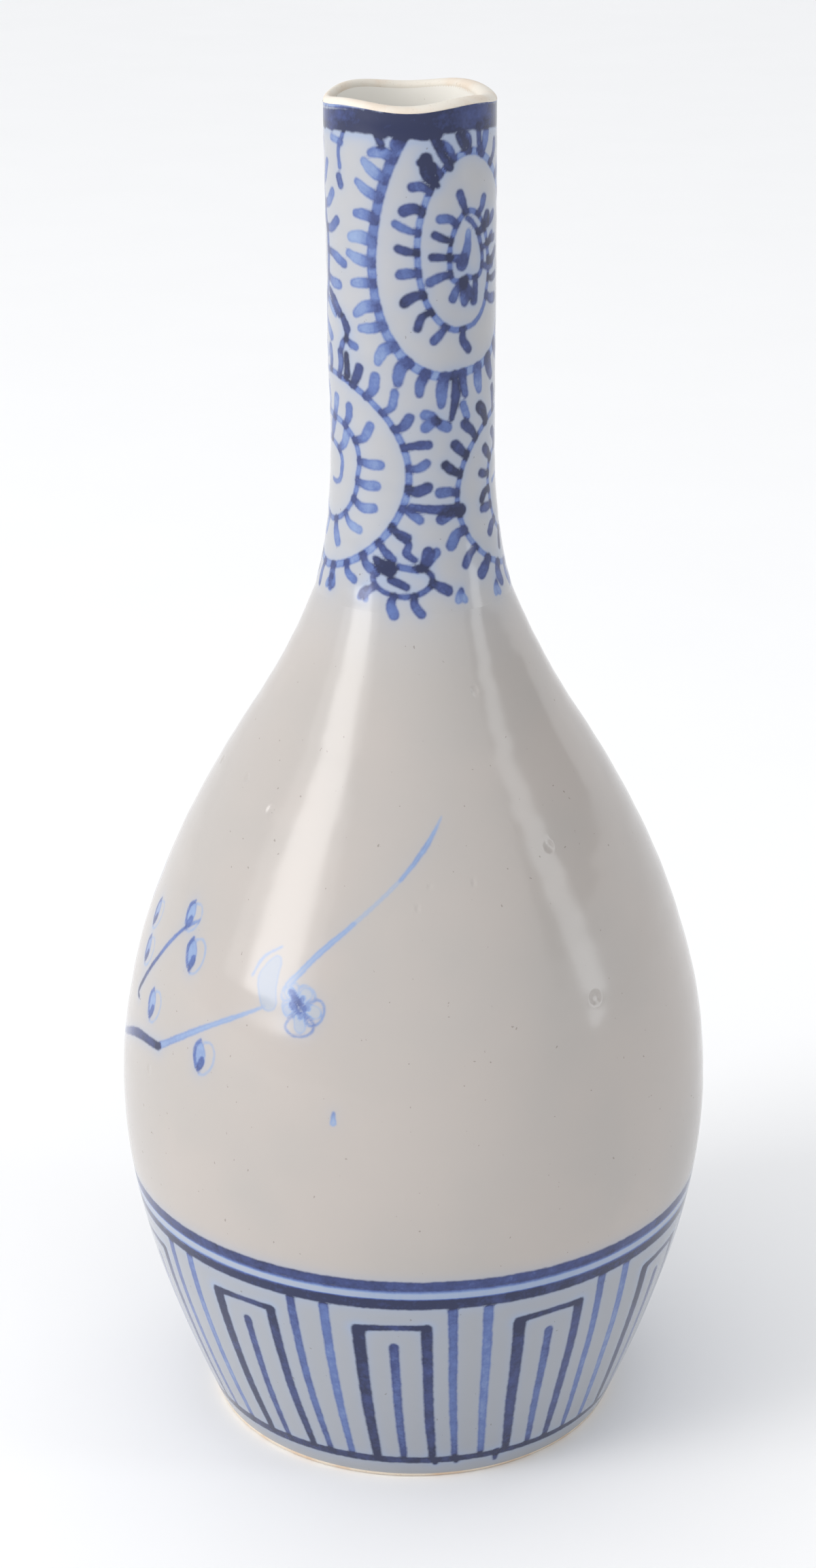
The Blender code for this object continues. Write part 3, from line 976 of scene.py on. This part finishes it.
def make_foot():
    """The bare ring that the bottle stands on."""
    edge = float(outline(GLAZE_FOOT)) - GLAZE_STEP
    inner = edge - FOOT_RING_WIDTH
    # it starts behind the outer glaze's edge and ends behind the recess's glaze
    profile = [(edge, GLAZE_FOOT + 0.3), (edge, GLAZE_FOOT)]
    for turn in np.linspace(0, math.pi / 2, 8)[1:]:
        profile.append((edge - FOOT_RING_ROUND * (1 - math.cos(turn)),
                        GLAZE_FOOT * (1 - math.sin(turn))))
    for turn in np.linspace(0, math.pi / 2, 8):
        profile.append((inner + FOOT_RING_ROUND * (1 - math.sin(turn)),
                        FOOT_RING_ROUND * (1 - math.cos(turn))))
    profile.append((inner, RECESS - 0.2))
    clay = biscuit("foot_biscuit", (0.66, 0.58, 0.48), (0.55, 0.36, 0.22))
    piece = turned("foot_ring_biscuit", profile, 360, clay)
    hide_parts("body")
    return piece


def make_recess():
    """The glazed recess under the foot."""
    # the glaze starts a little inside the ring and up from the table, and sags in the middle
    gap, bottom, corner, sag = 0.02, 1.2, 1.2, 0.35
    inner = float(outline(GLAZE_FOOT)) - GLAZE_STEP - FOOT_RING_WIDTH
    profile = [(inner - gap, bottom)]
    for turn in np.linspace(0, math.pi / 2, 9):
        profile.append((inner - corner * (1 - math.cos(turn)),
                        RECESS - corner * (1 - math.sin(turn))))
    for share in np.linspace(0.95, 0.01, 24):
        profile.append((inner * share, RECESS - sag * (1 - share**2)))
    glaze = white_glaze("recess_glaze", (0.60, 0.60, 0.585))
    piece = turned("recess_glaze", profile[::-1], 180, glaze)
    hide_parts("base_glaze")
    return piece


pieces = [*make_outside(), make_lip(), make_lining(), make_foot(), make_recess()]
for piece in pieces:
    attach(piece, "root")


# ---------------------------------------------------------------- studio, in metres
FLOOR_SIDE = 20.0
WARM = (1.0, 0.98, 0.96)
COOL = (0.94, 0.97, 1.0)


def sheet(name, corners, material):
    """A flat sheet between four corners."""
    mesh = bpy.data.meshes.new(name)
    mesh.from_pydata(corners, [], [(0, 1, 2, 3)])
    return add_object(mesh, name, material)


def make_floor():
    """White paper, wide enough to run out of the picture."""
    material, shader = new_material("floor_paper")
    graph = Graph(material)
    paper = graph.mix(graph.noise(60, 3), (0.88, 0.88, 0.88, 1), (0.90, 0.90, 0.90, 1))
    graph.join(paper, shader.inputs["Base Color"])
    shader.inputs["Roughness"].default_value = 0.9
    corners = [(-FLOOR_SIDE, -FLOOR_SIDE, 0), (FLOOR_SIDE, -FLOOR_SIDE, 0),
               (FLOOR_SIDE, FLOOR_SIDE, 0), (-FLOOR_SIDE, FLOOR_SIDE, 0)]
    floor = sheet("floor", corners, material)


def make_flag():
    """A grey card out of sight at the right, so that side of the bottle falls into shade."""
    material, shader = new_material("flag_card")
    shader.inputs["Base Color"].default_value = (0.12, 0.12, 0.12, 1)
    shader.inputs["Roughness"].default_value = 0.9
    right, near, far, bottom, top = 2.1, -1.2, 1.2, 0.5, 2.4
    corners = [(right, near, bottom), (right, far, bottom), (right, far, top), (right, near, top)]
    flag = sheet("flag", corners, material)
    flag.visible_camera = False
    flag.visible_shadow = False


def soft_light(name, azimuth, distance, height, size, power, colour, roll=0):
    """A soft box that faces the bottle. Azimuth 0 is at the front, 90 at the right. roll turns
    it about the way it faces."""
    data = bpy.data.lights.new(name, "AREA")
    data.shape = "RECTANGLE"
    data.size, data.size_y = size
    data.energy = power
    data.color = colour
    light = bpy.data.objects.new(name, data)
    turn = math.radians(azimuth)
    light.location = (distance * math.sin(turn), -distance * math.cos(turn), height)
    light.rotation_euler = (math.pi / 2, math.radians(roll), turn)
    bpy.context.scene.collection.objects.link(light)


def make_camera():
    """The camera in front of the bottle and above it, looking down by tilt degrees."""
    tilt = 21.34
    data = bpy.data.cameras.new("camera")
    data.lens = 69.4
    data.sensor_width = 36
    data.shift_x = -0.0035
    camera = bpy.data.objects.new("camera", data)
    camera.location = (0, -0.4465, 0.2813)
    camera.rotation_euler = (math.radians(90 - tilt), 0, 0)
    bpy.context.scene.collection.objects.link(camera)
    bpy.context.scene.camera = camera


def make_world():
    """An even, nearly white surrounding."""
    world = bpy.data.worlds.new("studio")
    world.use_nodes = True
    background = world.node_tree.nodes["Background"]
    background.inputs["Color"].default_value = (0.97, 0.98, 1.0, 1)
    background.inputs["Strength"].default_value = 1.0
    bpy.context.scene.world = world


make_floor()
make_flag()
# name, azimuth, distance, height of its middle, (width, height), watts, colour
soft_light("left_window", -62, 1.6, 0.92, (0.66, 1.46), 15.5, WARM)
soft_light("left_glow", -64, 2.0, 0.98, (1.60, 1.50), 9.8, WARM)
soft_light("right_window", 73, 1.7, 0.86, (0.36, 1.62), 5.0, COOL, roll=-14)
make_world()
make_camera()
bpy.context.scene.view_settings.view_transform = "Standard"
